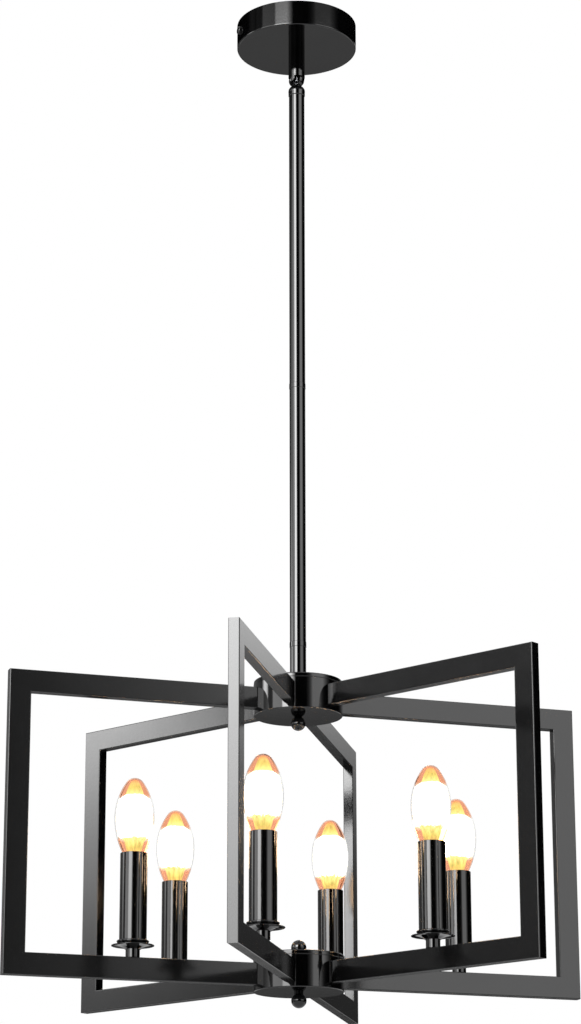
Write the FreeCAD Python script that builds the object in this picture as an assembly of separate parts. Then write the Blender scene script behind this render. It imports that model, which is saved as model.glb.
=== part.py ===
import FreeCAD, Part
import math
import os

# A six-arm radial chandelier: a round ceiling canopy, a universal swivel, a three-piece downrod and two
# round hubs that carry six C-shaped frames, each with one candle lamp on its lower bar.
# Millimetres. The origin is the centre of the ceiling plane, +Z points up, arm 1 points along +X.

# --- Driving dimensions -------------------------------------------------------------------------------

# Canopy and what fixes it to the ceiling
CANOPY_RADIUS = 60.0
CANOPY_DEPTH = 25.6
CANOPY_WALL = 1.2
CANOPY_EDGE_RADIUS = 1.3
CANOPY_INNER_EDGE = 0.1
CROSSBAR_WIDTH = 18.0
CROSSBAR_THICKNESS = 1.6
CROSSBAR_BEND_RADIUS = 1.2
CROSSBAR_TAB_DEPTH = 18.0
CROSSBAR_SLOT_SPACING = 79.4
CROSSBAR_SLOT_LENGTH = 22.0
CROSSBAR_SLOT_RADIUS = 2.3
GROUND_SCREW_OFFSET = 20.0
GROUND_HEAD_RADIUS = 4.0
GROUND_HEAD_HEIGHT = 2.4
SIDE_SCREW_HEAD_RADIUS = 4.0
SIDE_SCREW_HEAD_HEIGHT = 2.6
SIDE_SCREW_SPARE = 1.5

# Threads: M10 tube for everything that hangs, M6 for the hub studs, M4 for the small screws
TUBE_THREAD_RADIUS = 5.0
TUBE_BORE_RADIUS = 3.5
STUD_RADIUS = 3.0
SMALL_SCREW_RADIUS = 2.0
NUT_ACROSS_FLATS = 14.0
NUT_THICKNESS = 4.0
THREAD_GRIP = 12.0
SCREW_CORNER_SHARE = 0.5
SLOT_CUT_WIDTH = 1.0
SLOT_CUT_DEPTH = 0.9

# Universal swivel. The turn is the angle in degrees from +X to the upper pins.
SWIVEL_TURN = 30.0
SWIVEL_RADIUS = 8.25
UPPER_FORK_LENGTH = 32.9
LOWER_FORK_LENGTH = 18.5
FORK_THREAD_DEPTH = 16.0
EAR_HALF_WIDTH = 3.3
SLOT_HALF_WIDTH = 4.4
FORK_ROOT_DEPTH = 6.2
NECK_RADIUS = 4.2
SHOULDER_DEPTH = 14.1
FORK_FOOT_BEVEL = 0.8
PIN_RADIUS = 1.2
PIN_RECESS = 0.35
RING_WALL = 1.6
RING_HALF_HEIGHT = 2.4
WIRE_RADIUS = 2.2

# Downrod
ROD_RADIUS = 7.75
ROD_WALL = 1.5
ROD_COLLAR_RADIUS = 8.05
ROD_COLLAR_HEIGHT = 2.6
ROD_THREAD_DEPTH = 14.0
UPPER_ROD_LENGTH = 308.5
LOWER_ROD_LENGTH = 260.0
ROD_STUB_LENGTH = 36.1

# Hubs
HUB_RADIUS = 42.0
HUB_HEIGHT = 33.8
HUB_LIP = 4.6
HUB_WALL = 2.5
HUB_FLOOR = 3.0
HUB_EDGE_RADIUS = 0.8
LID_THICKNESS = 4.0
LID_EDGE_RADIUS = 1.4
LID_SPIGOT_DEPTH = 2.0
HICKEY_RADIUS = 7.5
HICKEY_BOSS_HEIGHT = 5.0
HICKEY_WINDOW_HEIGHT = 6.0
HICKEY_WINDOW_WIDTH = 9.0
TOP_FINIAL_RADIUS = 5.9
TOP_FINIAL_NECK = 1.0
BOTTOM_FINIAL_RADIUS = 7.1
BOTTOM_FINIAL_NECK = 0.2
FINIAL_NECK_RADIUS = 4.2
FINIAL_THREAD_DEPTH = 8.0

# Frames
ARM_COUNT = 6
FRAME_RADIUS = 280.0
FRAME_HEIGHT = 279.6
BAR_DEPTH = 20.4
BAR_THICKNESS = 10.2
BAR_WALL = 1.2
BAR_EDGE_RADIUS = 0.8
PLUG_LENGTH = 4.0
ARM_SCREW_DROP = 4.5
ARM_WIRE_RISE = 4.0
ARM_SCREW_HEAD_RADIUS = 3.6
ARM_SCREW_HEAD_HEIGHT = 2.6
ARM_SCREW_LENGTH = 8.0

# Candles
CANDLE_RADIUS = 158.8
STEM_RADIUS = 6.5
STEM_HEIGHT = 7.6
BOBECHE_RADIUS = 19.6
BOBECHE_FOOT_RADIUS = 7.5
BOBECHE_RIM_RISE = 4.3
BOBECHE_BELLY_RISE = 1.3
BOBECHE_EDGE = 0.5
BOBECHE_FLOOR_RISE = 6.6
CUP_FOOT_RADIUS = 14.6
CUP_FOOT_RISE = 5.9
CUP_TOP_RISE = 9.3
CUP_WALL = 0.7
SLEEVE_RADIUS = 12.5
SLEEVE_WALL = 0.9
SLEEVE_LENGTH = 81.0
SLEEVE_LIP_RADIUS = 0.3
SOCKET_RADIUS = 9.6
SOCKET_FOOT_RADIUS = 7.5
SOCKET_FOOT_HEIGHT = 19.0
SOCKET_TOP_DROP = 11.8
SOCKET_EDGE = 0.8
SOCKET_SEAT_DEPTH = 20.3

# Bulbs: candle shape on a small screw base
BULB_RADIUS = 18.3
BULB_TIP_RISE = 37.2
BULB_NECK_DROP = 41.0
BULB_NECK_RADIUS = 7.2
BULB_NECK_CURVE = 9.3
BULB_TIP_CURVE = 9.5
GLASS_THICKNESS = 0.8
BASE_FLANGE = 3.3
BASE_RADIUS = 5.9
BASE_SHELL_LENGTH = 18.1
BASE_TIP_RADIUS = 2.5
BASE_TIP_TAPER = 2.2
MOUNT_FOOT_RADIUS = 4.6
MOUNT_TOP_RADIUS = 2.0
MOUNT_HEIGHT = 13.0
FILAMENT_COUNT = 4
FILAMENT_RADIUS = 0.9
FILAMENT_LENGTH = 36.0
FILAMENT_CIRCLE = 3.6
FILAMENT_PLATE = 0.8
FILAMENT_PLATE_MARGIN = 0.5

# Clearances
THREAD_GAP = 0.05
SEAT_GAP = 0.05
PASS_GAP = 0.25
SPIGOT_GAP = 0.3
PIN_GAP = 0.05
MOVING_GAP = 0.3
CANOPY_GAP = 2.0
BULB_SEAT_GAP = 0.3

# --- Heights below the ceiling, from the top down -----------------------------------------------------

CANOPY_BOTTOM = -CANOPY_DEPTH
PIVOT = CANOPY_BOTTOM - UPPER_FORK_LENGTH
ROD_TOP = PIVOT - LOWER_FORK_LENGTH
UPPER_SEAM = ROD_TOP - UPPER_ROD_LENGTH
LOWER_SEAM = UPPER_SEAM - LOWER_ROD_LENGTH
TOP_HUB_TOP = LOWER_SEAM - ROD_STUB_LENGTH
TOP_HUB_BOTTOM = TOP_HUB_TOP - HUB_HEIGHT
FRAME_TOP = TOP_HUB_BOTTOM + HUB_LIP + BAR_DEPTH
FRAME_BOTTOM = FRAME_TOP - FRAME_HEIGHT
BOTTOM_HUB_BOTTOM = FRAME_BOTTOM - HUB_LIP
BOTTOM_HUB_TOP = BOTTOM_HUB_BOTTOM + HUB_HEIGHT
LOWER_BAR_TOP = FRAME_BOTTOM + BAR_DEPTH
BOBECHE_BOTTOM = LOWER_BAR_TOP + STEM_HEIGHT
SLEEVE_BOTTOM = BOBECHE_BOTTOM + BOBECHE_FLOOR_RISE
SLEEVE_TOP = SLEEVE_BOTTOM + SLEEVE_LENGTH
SOCKET_BOTTOM = SLEEVE_BOTTOM + NUT_THICKNESS
SOCKET_TOP = SLEEVE_TOP - SOCKET_TOP_DROP
SOCKET_SEAT = SOCKET_TOP - SOCKET_SEAT_DEPTH
BASE_BOTTOM = SOCKET_SEAT + BULB_SEAT_GAP
BASE_TOP = BASE_BOTTOM + BASE_TIP_TAPER + BASE_SHELL_LENGTH + BASE_FLANGE
BULB_EQUATOR = BASE_TOP + BULB_NECK_DROP

# Derived radii
TAPPED_TUBE = TUBE_THREAD_RADIUS + THREAD_GAP
TUBE_HOLE = TUBE_THREAD_RADIUS + PASS_GAP
TAPPED_STUD = STUD_RADIUS + THREAD_GAP
STUD_HOLE = STUD_RADIUS + PASS_GAP
TAPPED_SMALL = SMALL_SCREW_RADIUS + THREAD_GAP
SMALL_HOLE = SMALL_SCREW_RADIUS + PASS_GAP
TAB_FACE = CANOPY_RADIUS - CANOPY_WALL - CANOPY_GAP
SIDE_SCREW_Z = -CANOPY_DEPTH / 2.0
SWIVEL_CLEAR = SWIVEL_RADIUS + MOVING_GAP
RING_RADIUS = SLOT_HALF_WIDTH - MOVING_GAP
STUD_TOP = BOBECHE_FLOOR_RISE + NUT_THICKNESS + THREAD_GRIP

NAMED_ARMS = ["right", "back_right", "back_left", "left", "front_left", "front_right"]

X_AXIS = FreeCAD.Vector(1, 0, 0)
Y_AXIS = FreeCAD.Vector(0, 1, 0)
Z_AXIS = FreeCAD.Vector(0, 0, 1)
ORIGIN = FreeCAD.Vector(0, 0, 0)


# --- Small building blocks ----------------------------------------------------------------------------

def rod(radius, low, high, x=0.0, y=0.0):
    """An upright cylinder between two heights."""
    return Part.makeCylinder(radius, high - low, FreeCAD.Vector(x, y, low), Z_AXIS)


def tube(outer, inner, low, high):
    """An upright tube between two heights."""
    return rod(outer, low, high).cut(rod(inner, low, high))


def cross_rod(radius, start, end, axis, height=0.0):
    """A level cylinder along X or Y between two distances from the centre line."""
    return Part.makeCylinder(radius, end - start, axis * start + Z_AXIS * height, axis)


def block(size_x, size_y, low, high):
    """A box centred on the Z axis between two heights."""
    corner = FreeCAD.Vector(-size_x / 2.0, -size_y / 2.0, low)
    return Part.makeBox(size_x, size_y, high - low, corner)


def turned(start, *steps):
    """A solid of revolution about Z. Each step from the start point (radius, height) is an end point for a
    straight line or a pair (middle, end) for an arc."""
    here = FreeCAD.Vector(start[0], 0, start[1])
    first = here
    edges = []
    for step in steps:
        points = [step] if isinstance(step[0], float) else step
        path = [here] + [FreeCAD.Vector(radius, 0, height) for radius, height in points]
        if len(path) == 2:
            edges.append(Part.makeLine(path[0], path[1]))
        else:
            edges.append(Part.Arc(path[0], path[1], path[2]).toShape())
        here = path[-1]
    edges.append(Part.makeLine(here, first))
    return Part.Face(Part.Wire(edges)).revolve(ORIGIN, Z_AXIS, 360)


def arc(centre, radius, start, end):
    """The middle and end points of an arc about a centre, from one angle in degrees to another."""
    middle = math.radians((start + end) / 2.0)
    last = math.radians(end)
    return (
        (centre[0] + radius * math.cos(middle), centre[1] + radius * math.sin(middle)),
        (centre[0] + radius * math.cos(last), centre[1] + radius * math.sin(last)),
    )


def hexagon(across_flats, low, high):
    """An upright hexagonal prism."""
    corner = across_flats / math.sqrt(3.0)
    points = []
    for side in range(7):
        angle = math.radians(60.0 * side)
        points.append(FreeCAD.Vector(corner * math.cos(angle), corner * math.sin(angle), low))
    return Part.Face(Part.makePolygon(points)).extrude(Z_AXIS * (high - low))


def hex_nut(bore, low):
    """A tapped hexagonal nut whose corners are bevelled by a cone."""
    high = low + NUT_THICKNESS
    flat = NUT_ACROSS_FLATS / 2.0
    corner = NUT_ACROSS_FLATS / math.sqrt(3.0)
    bevel = corner - flat
    dome = turned((0.0, low), (corner, low), (corner, high - bevel), (flat, high), (0.0, high))
    return hexagon(NUT_ACROSS_FLATS, low, high).common(dome).cut(rod(bore, low, high))


def slotted_screw(head_radius, head_height, length):
    """A pan-head screw with its head standing on z = 0, its shank below and a slot across the head."""
    corner = min(head_radius, head_height) * SCREW_CORNER_SHARE
    head = rod(head_radius, 0.0, head_height)
    head = head.makeFillet(corner, [edge for edge in head.Edges if edge.BoundBox.ZMin > head_height / 2.0])
    slot = block(2.0 * head_radius, SLOT_CUT_WIDTH, head_height - SLOT_CUT_DEPTH, head_height)
    return head.cut(slot).fuse(rod(SMALL_SCREW_RADIUS, -length, 0.0))


def pointed_along(shape, direction, place):
    """The shape with its +Z turned to the direction, moved to the place."""
    turn = FreeCAD.Rotation(Z_AXIS, direction)
    copy = shape.copy()
    copy.Placement = FreeCAD.Placement(place, turn)
    return copy


def at_arm(shape, arm):
    """A copy of a shape made on the +X arm, turned to the numbered arm."""
    copy = shape.copy()
    copy.rotate(ORIGIN, Z_AXIS, arm * 360.0 / ARM_COUNT)
    return copy


def at_candle(shape):
    """The shape moved from the centre line to the candle on the +X arm."""
    copy = shape.copy()
    copy.translate(X_AXIS * CANDLE_RADIUS)
    return copy


def on_all_arms(shape):
    return [at_arm(shape, arm) for arm in range(ARM_COUNT)]


def write(name, *solids):
    shape = solids[0] if len(solids) == 1 else Part.Compound(list(solids))
    shape.exportStep("parts/" + name + ".step")


# --- Ceiling fixing and canopy ------------------------------------------------------------------------

def ceiling_crossbar():
    """A steel strip along X with its ends bent down, slotted for the ceiling box screws, tapped in the
    middle for the tube and in the tabs for the side screws."""
    length = 2.0 * TAB_FACE
    outer = block(length, CROSSBAR_WIDTH, -CROSSBAR_TAB_DEPTH, 0.0)
    inner = block(length - 2.0 * CROSSBAR_THICKNESS, CROSSBAR_WIDTH, -CROSSBAR_TAB_DEPTH, -CROSSBAR_THICKNESS)
    outer = outer.makeFillet(CROSSBAR_BEND_RADIUS + CROSSBAR_THICKNESS, edges_along_y(outer, 0.0))
    inner = inner.makeFillet(CROSSBAR_BEND_RADIUS, edges_along_y(inner, -CROSSBAR_THICKNESS))
    strip = outer.cut(inner)
    for side in (-1.0, 1.0):
        strip = strip.cut(ceiling_slot(side * CROSSBAR_SLOT_SPACING / 2.0))
    strip = strip.cut(rod(TAPPED_TUBE, -CROSSBAR_THICKNESS, 0.0))
    strip = strip.cut(rod(TAPPED_SMALL, -CROSSBAR_THICKNESS, 0.0, x=GROUND_SCREW_OFFSET))
    return strip.cut(cross_rod(TAPPED_SMALL, -TAB_FACE, TAB_FACE, X_AXIS, SIDE_SCREW_Z))


def edges_along_y(shape, height):
    """The edges of a box that run along Y at one height."""
    found = []
    for edge in shape.Edges:
        low, high = edge.BoundBox.ZMin, edge.BoundBox.ZMax
        level = abs(low - height) < 0.01 and abs(high - height) < 0.01
        if level and edge.BoundBox.XLength < 0.01:
            found.append(edge)
    return found


def ceiling_slot(centre):
    straight = CROSSBAR_SLOT_LENGTH / 2.0 - CROSSBAR_SLOT_RADIUS
    slot = block(2.0 * straight, 2.0 * CROSSBAR_SLOT_RADIUS, -CROSSBAR_THICKNESS, 0.0)
    for end in (-straight, straight):
        slot = slot.fuse(rod(CROSSBAR_SLOT_RADIUS, -CROSSBAR_THICKNESS, 0.0, x=end))
    slot.translate(X_AXIS * centre)
    return slot


def ground_screw():
    """The earth screw, driven up into the strip from inside the canopy."""
    screw = slotted_screw(GROUND_HEAD_RADIUS, GROUND_HEAD_HEIGHT, CROSSBAR_THICKNESS)
    return pointed_along(screw, Z_AXIS * -1.0, FreeCAD.Vector(GROUND_SCREW_OFFSET, 0, -CROSSBAR_THICKNESS))


def canopy_cover():
    """The spun pan, open at the ceiling."""
    inside = CANOPY_RADIUS - CANOPY_WALL
    floor = CANOPY_BOTTOM + CANOPY_WALL
    outer_edge = max(CANOPY_EDGE_RADIUS, CANOPY_WALL + CANOPY_INNER_EDGE)
    inner_edge = outer_edge - CANOPY_WALL
    edge_centre = (CANOPY_RADIUS - outer_edge, CANOPY_BOTTOM + outer_edge)
    pan = turned(
        (TUBE_HOLE, CANOPY_BOTTOM),
        (edge_centre[0], CANOPY_BOTTOM),
        arc(edge_centre, outer_edge, -90, 0),
        (CANOPY_RADIUS, 0.0),
        (inside, 0.0),
        (inside, edge_centre[1]),
        arc(edge_centre, inner_edge, 0, -90),
        (TUBE_HOLE, floor),
    )
    return pan.cut(cross_rod(SMALL_HOLE, -CANOPY_RADIUS, CANOPY_RADIUS, X_AXIS, SIDE_SCREW_Z))


def canopy_side_screws():
    """Two screws through the canopy wall into the tabs of the strip."""
    length = CANOPY_WALL + CANOPY_GAP + CROSSBAR_THICKNESS + SIDE_SCREW_SPARE
    screw = slotted_screw(SIDE_SCREW_HEAD_RADIUS, SIDE_SCREW_HEAD_HEIGHT, length)
    screws = []
    for side in (-1.0, 1.0):
        place = FreeCAD.Vector(side * CANOPY_RADIUS, 0, SIDE_SCREW_Z)
        screws.append(pointed_along(screw, X_AXIS * side, place))
    return screws


def canopy_nipple():
    """The threaded tube that carries the whole weight: tapped into the strip and the upper fork."""
    return tube(TUBE_THREAD_RADIUS, TUBE_BORE_RADIUS, CANOPY_BOTTOM - FORK_THREAD_DEPTH, 0.0)


def canopy_lock_nut():
    return hex_nut(TAPPED_TUBE, -CROSSBAR_THICKNESS - NUT_THICKNESS)


# --- Universal swivel ---------------------------------------------------------------------------------

def fork_ears(envelope):
    """Two ears at +X and -X with rounded ends and a bridge above them, cut out of the envelope. The pivot
    is at the origin and the fork's own body is above."""
    reach = SWIVEL_RADIUS + FORK_ROOT_DEPTH
    strap = block(2.0 * SWIVEL_RADIUS, 2.0 * EAR_HALF_WIDTH, 0.0, reach)
    strap = strap.fuse(cross_rod(EAR_HALF_WIDTH, -SWIVEL_RADIUS, SWIVEL_RADIUS, X_AXIS))
    slot = block(2.0 * SLOT_HALF_WIDTH, 4.0 * SWIVEL_RADIUS, -SWIVEL_RADIUS, FORK_ROOT_DEPTH)
    pin_bore = cross_rod(PIN_RADIUS + THREAD_GAP, -SWIVEL_RADIUS, SWIVEL_RADIUS, X_AXIS)
    return envelope.common(strap).cut(slot).cut(pin_bore)


def in_swivel(shape):
    """The shape made round the origin as the pivot, turned and lowered to its place."""
    shape.rotate(ORIGIN, Z_AXIS, SWIVEL_TURN)
    shape.translate(Z_AXIS * PIVOT)
    return shape


def swivel_upper_fork():
    """The socket under the canopy: a cylinder that ends in a ball, slotted into two ears."""
    ball = Part.makeSphere(SWIVEL_RADIUS)
    barrel = rod(SWIVEL_RADIUS, 0.0, UPPER_FORK_LENGTH)
    crown = barrel.cut(Part.makeSphere(SWIVEL_CLEAR))
    fork = crown.fuse(fork_ears(ball.fuse(barrel)))
    fork = fork.cut(rod(TAPPED_TUBE, UPPER_FORK_LENGTH - FORK_THREAD_DEPTH, UPPER_FORK_LENGTH))
    fork = fork.cut(rod(WIRE_RADIUS, 0.0, UPPER_FORK_LENGTH))
    return in_swivel(fork.removeSplitter())


def swivel_lower_fork():
    """The knuckle on top of the downrod: two ears in the same ball, square to the upper ones, a waist, a
    rounded shoulder and a threaded spigot that screws into the rod."""
    ball = Part.makeSphere(SWIVEL_RADIUS)
    waist = rod(NECK_RADIUS, 0.0, SHOULDER_DEPTH)
    shoulder_top = math.sqrt(SWIVEL_CLEAR ** 2 - NECK_RADIUS ** 2)
    bulge_r = NECK_RADIUS + (SWIVEL_RADIUS - NECK_RADIUS) * math.sqrt(0.5)
    bulge_z = SHOULDER_DEPTH - (SHOULDER_DEPTH - shoulder_top) * math.sqrt(0.5)
    shoulder = turned(
        (0.0, shoulder_top),
        (NECK_RADIUS, shoulder_top),
        ((bulge_r, bulge_z), (SWIVEL_RADIUS, SHOULDER_DEPTH)),
        (SWIVEL_RADIUS, LOWER_FORK_LENGTH - FORK_FOOT_BEVEL),
        (SWIVEL_RADIUS - FORK_FOOT_BEVEL, LOWER_FORK_LENGTH),
        (TUBE_THREAD_RADIUS, LOWER_FORK_LENGTH),
        (TUBE_THREAD_RADIUS, LOWER_FORK_LENGTH + THREAD_GRIP),
        (0.0, LOWER_FORK_LENGTH + THREAD_GRIP),
    )
    fork = fork_ears(ball.fuse(waist)).fuse(shoulder.cut(Part.makeSphere(SWIVEL_CLEAR)))
    fork = fork.cut(rod(WIRE_RADIUS, 0.0, LOWER_FORK_LENGTH + THREAD_GRIP))
    fork.rotate(ORIGIN, Z_AXIS, 90)
    fork.rotate(ORIGIN, Y_AXIS, 180)
    return in_swivel(fork.removeSplitter())


def swivel_gimbal_ring():
    """The ring between the forks, bored for both pairs of pins; the wires pass through its middle."""
    ring = tube(RING_RADIUS, RING_RADIUS - RING_WALL, -RING_HALF_HEIGHT, RING_HALF_HEIGHT)
    for axis in (X_AXIS, Y_AXIS):
        ring = ring.cut(cross_rod(PIN_RADIUS + PIN_GAP, -RING_RADIUS, RING_RADIUS, axis))
    return in_swivel(ring)


def swivel_pins(axis):
    """Two short pins on one axis, from the ring's bore out through the ears."""
    inner = RING_RADIUS - RING_WALL
    outer = SWIVEL_RADIUS - PIN_RECESS
    return [
        in_swivel(cross_rod(PIN_RADIUS, inner, outer, axis)),
        in_swivel(cross_rod(PIN_RADIUS, -outer, -inner, axis)),
    ]


# --- Downrod ------------------------------------------------------------------------------------------

def downrod(low, high, collar_below, collar_above):
    """A tube with a tapped insert in each end, and a slight collar where it meets the next length."""
    body = rod(ROD_RADIUS, low, high)
    if collar_below:
        body = body.fuse(rod_collar(low, low + ROD_COLLAR_HEIGHT, low + ROD_COLLAR_HEIGHT))
    if collar_above:
        body = body.fuse(rod_collar(high - ROD_COLLAR_HEIGHT, high, high - ROD_COLLAR_HEIGHT))
    body = body.cut(rod(TAPPED_TUBE, low, high))
    if high - low > 2.0 * ROD_THREAD_DEPTH + ROD_RADIUS:
        body = body.cut(rod(ROD_RADIUS - ROD_WALL, low + ROD_THREAD_DEPTH, high - ROD_THREAD_DEPTH))
    return body


def rod_collar(low, high, bevelled):
    """A thin collar with its free edge bevelled down to the tube."""
    step = ROD_COLLAR_RADIUS - ROD_RADIUS
    if bevelled == high:
        wall = ((ROD_COLLAR_RADIUS, low), (ROD_COLLAR_RADIUS, high - step), (ROD_RADIUS, high))
    else:
        wall = ((ROD_RADIUS, low), (ROD_COLLAR_RADIUS, low + step), (ROD_COLLAR_RADIUS, high))
    return turned((0.0, low), *wall, (0.0, high))


def rod_nipples():
    """Threaded tubes inside the two seams of the downrod."""
    return [
        tube(TUBE_THREAD_RADIUS, TUBE_BORE_RADIUS, seam - THREAD_GRIP, seam + THREAD_GRIP)
        for seam in (UPPER_SEAM, LOWER_SEAM)
    ]


# --- Hubs ---------------------------------------------------------------------------------------------

def hub_drum(bottom, centre_hole):
    """The cup of a hub, with a screw hole and a wire hole for each arm."""
    rim = bottom + HUB_HEIGHT - LID_THICKNESS
    inside = HUB_RADIUS - HUB_WALL
    floor = bottom + HUB_FLOOR
    cup = turned(
        (centre_hole, bottom),
        (HUB_RADIUS - HUB_EDGE_RADIUS, bottom),
        arc((HUB_RADIUS - HUB_EDGE_RADIUS, bottom + HUB_EDGE_RADIUS), HUB_EDGE_RADIUS, -90, 0),
        (HUB_RADIUS, rim),
        (inside, rim),
        (inside, floor),
        (centre_hole, floor),
    )
    screw_z, wire_z = arm_hole_heights(bottom)
    for radius, height in ((SMALL_HOLE, screw_z), (WIRE_RADIUS, wire_z)):
        hole = cross_rod(radius, inside - HUB_WALL, HUB_RADIUS, X_AXIS, height)
        for arm in range(ARM_COUNT):
            cup = cup.cut(at_arm(hole, arm))
    return cup


def arm_hole_heights(hub_bottom):
    """The heights of an arm's screw and wire hole, from the middle of the bar that meets this hub."""
    middle = hub_bottom + HUB_LIP + BAR_DEPTH / 2.0
    return middle - ARM_SCREW_DROP, middle + ARM_WIRE_RISE


def hub_lid(bottom, centre_hole):
    """The disc that closes a hub, with a rounded edge above and a spigot inside the drum."""
    low = bottom + HUB_HEIGHT - LID_THICKNESS
    high = bottom + HUB_HEIGHT
    spigot = HUB_RADIUS - HUB_WALL - SPIGOT_GAP
    return turned(
        (centre_hole, low - LID_SPIGOT_DEPTH),
        (spigot, low - LID_SPIGOT_DEPTH),
        (spigot, low),
        (HUB_RADIUS, low),
        (HUB_RADIUS, high - LID_EDGE_RADIUS),
        arc((HUB_RADIUS - LID_EDGE_RADIUS, high - LID_EDGE_RADIUS), LID_EDGE_RADIUS, 0, 90),
        (centre_hole, high),
    )


def top_hub_nut_top():
    return TOP_HUB_TOP - LID_THICKNESS - LID_SPIGOT_DEPTH


def top_hub_hickey_top():
    return top_hub_nut_top() - NUT_THICKNESS


def top_hub_nipple():
    """The threaded tube from the rod stub through the lid into the hickey."""
    low = top_hub_hickey_top() - HICKEY_BOSS_HEIGHT
    return tube(TUBE_THREAD_RADIUS, TUBE_BORE_RADIUS, low, TOP_HUB_TOP + THREAD_GRIP)


def top_hub_lock_nut():
    return hex_nut(TAPPED_TUBE, top_hub_nut_top() - NUT_THICKNESS)


def top_hub_hickey():
    """The open-sided fitting that lets the wires out of the tube and holds the finial's stud."""
    high = top_hub_hickey_top()
    window_top = high - HICKEY_BOSS_HEIGHT
    window_bottom = window_top - HICKEY_WINDOW_HEIGHT
    low = window_bottom - HICKEY_BOSS_HEIGHT
    body = rod(HICKEY_RADIUS, low, high)
    body = body.cut(block(HICKEY_WINDOW_WIDTH, 4.0 * HICKEY_RADIUS, window_bottom, window_top))
    body = body.cut(rod(TAPPED_TUBE, window_top, high))
    return body.cut(rod(TAPPED_STUD, low, window_bottom))


def finial_ball(radius, neck, bore_depth):
    """A ball on a short neck, with its seat on z = 0 and the ball below, bored for a stud."""
    centre = -neck - radius
    neck_low = centre + math.sqrt(radius ** 2 - FINIAL_NECK_RADIUS ** 2)
    ball = Part.makeSphere(radius, FreeCAD.Vector(0, 0, centre))
    ball = ball.fuse(rod(FINIAL_NECK_RADIUS, neck_low, 0.0))
    return ball.cut(rod(TAPPED_STUD, -bore_depth, 0.0)).removeSplitter()


def top_hub_finial():
    """The small ball under the top hub, with its own stud up through the drum into the hickey."""
    hickey_bottom = top_hub_hickey_top() - 2.0 * HICKEY_BOSS_HEIGHT - HICKEY_WINDOW_HEIGHT
    ball = finial_ball(TOP_FINIAL_RADIUS, TOP_FINIAL_NECK, 0.0)
    ball.translate(Z_AXIS * TOP_HUB_BOTTOM)
    stud = rod(STUD_RADIUS, TOP_HUB_BOTTOM - TOP_FINIAL_NECK, hickey_bottom + HICKEY_BOSS_HEIGHT)
    return ball.fuse(stud).removeSplitter()


def bottom_hub_finials():
    """A ball above and a ball below the bottom hub, both screwed on one stud."""
    lower = finial_ball(BOTTOM_FINIAL_RADIUS, BOTTOM_FINIAL_NECK, FINIAL_THREAD_DEPTH)
    upper = lower.copy()
    upper.rotate(ORIGIN, X_AXIS, 180)
    lower.translate(Z_AXIS * BOTTOM_HUB_BOTTOM)
    upper.translate(Z_AXIS * BOTTOM_HUB_TOP)
    return [lower, upper]


def bottom_hub_stud():
    return rod(STUD_RADIUS, BOTTOM_HUB_BOTTOM - FINIAL_THREAD_DEPTH, BOTTOM_HUB_TOP + FINIAL_THREAD_DEPTH)


# --- Frames -------------------------------------------------------------------------------------------

def bar_box(inner, outer, thickness, low, high):
    """A box in the plane of the +X arm between two radii and two heights."""
    return Part.makeBox(outer - inner, thickness, high - low, FreeCAD.Vector(inner, -thickness / 2.0, low))


def c_frame():
    """A C of rectangular tube on the +X arm: top bar, outer upright and bottom bar, with tapped plugs in
    the two ends, which are shaped to the round hubs."""
    gap_outer = FRAME_RADIUS - BAR_DEPTH
    gap_low = FRAME_BOTTOM + BAR_DEPTH
    gap_high = FRAME_TOP - BAR_DEPTH
    outline = bar_box(0.0, FRAME_RADIUS, BAR_THICKNESS, FRAME_BOTTOM, FRAME_TOP)
    outline = outline.cut(bar_box(-1.0, gap_outer, BAR_THICKNESS, gap_low, gap_high))
    outline = outline.makeFillet(BAR_EDGE_RADIUS, long_edges(outline))

    wall = BAR_WALL
    plug_end = HUB_RADIUS + PLUG_LENGTH
    inner_thickness = BAR_THICKNESS - 2.0 * wall
    hollow = bar_box(plug_end, FRAME_RADIUS - wall, inner_thickness, FRAME_BOTTOM + wall, FRAME_TOP - wall)
    kept = bar_box(0.0, gap_outer + wall, BAR_THICKNESS, gap_low - wall, gap_high + wall)
    frame = outline.cut(hollow.cut(kept))

    hub = rod(HUB_RADIUS + SEAT_GAP, BOTTOM_HUB_BOTTOM, TOP_HUB_TOP)
    frame = frame.cut(hub)
    for hub_bottom in (TOP_HUB_BOTTOM, BOTTOM_HUB_BOTTOM):
        screw_z, wire_z = arm_hole_heights(hub_bottom)
        frame = frame.cut(cross_rod(TAPPED_SMALL, HUB_RADIUS, plug_end, X_AXIS, screw_z))
        frame = frame.cut(cross_rod(WIRE_RADIUS, HUB_RADIUS, plug_end, X_AXIS, wire_z))
    return frame.cut(rod(WIRE_RADIUS, LOWER_BAR_TOP - 2.0 * wall, LOWER_BAR_TOP, x=CANDLE_RADIUS))


def long_edges(outline):
    """The edges of the C that lie in its two flat faces, without those across the open ends."""
    half = BAR_THICKNESS / 2.0
    found = []
    for edge in outline.Edges:
        box = edge.BoundBox
        on_face = box.YLength < 0.01 and abs(abs(box.YMin) - half) < 0.01
        at_end = box.XMax < 0.01
        if on_face and not at_end:
            found.append(edge)
    return found


def arm_screws():
    """The screws from inside the hubs into the plugs of the frames, two to a frame."""
    screw = slotted_screw(ARM_SCREW_HEAD_RADIUS, ARM_SCREW_HEAD_HEIGHT, ARM_SCREW_LENGTH)
    seat = math.sqrt((HUB_RADIUS - HUB_WALL) ** 2 - ARM_SCREW_HEAD_RADIUS ** 2)
    screws = []
    for hub_bottom in (TOP_HUB_BOTTOM, BOTTOM_HUB_BOTTOM):
        height, _ = arm_hole_heights(hub_bottom)
        placed = pointed_along(screw, X_AXIS * -1.0, FreeCAD.Vector(seat, 0, height))
        screws.extend(on_all_arms(placed))
    return screws


# --- Candles ------------------------------------------------------------------------------------------

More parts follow.
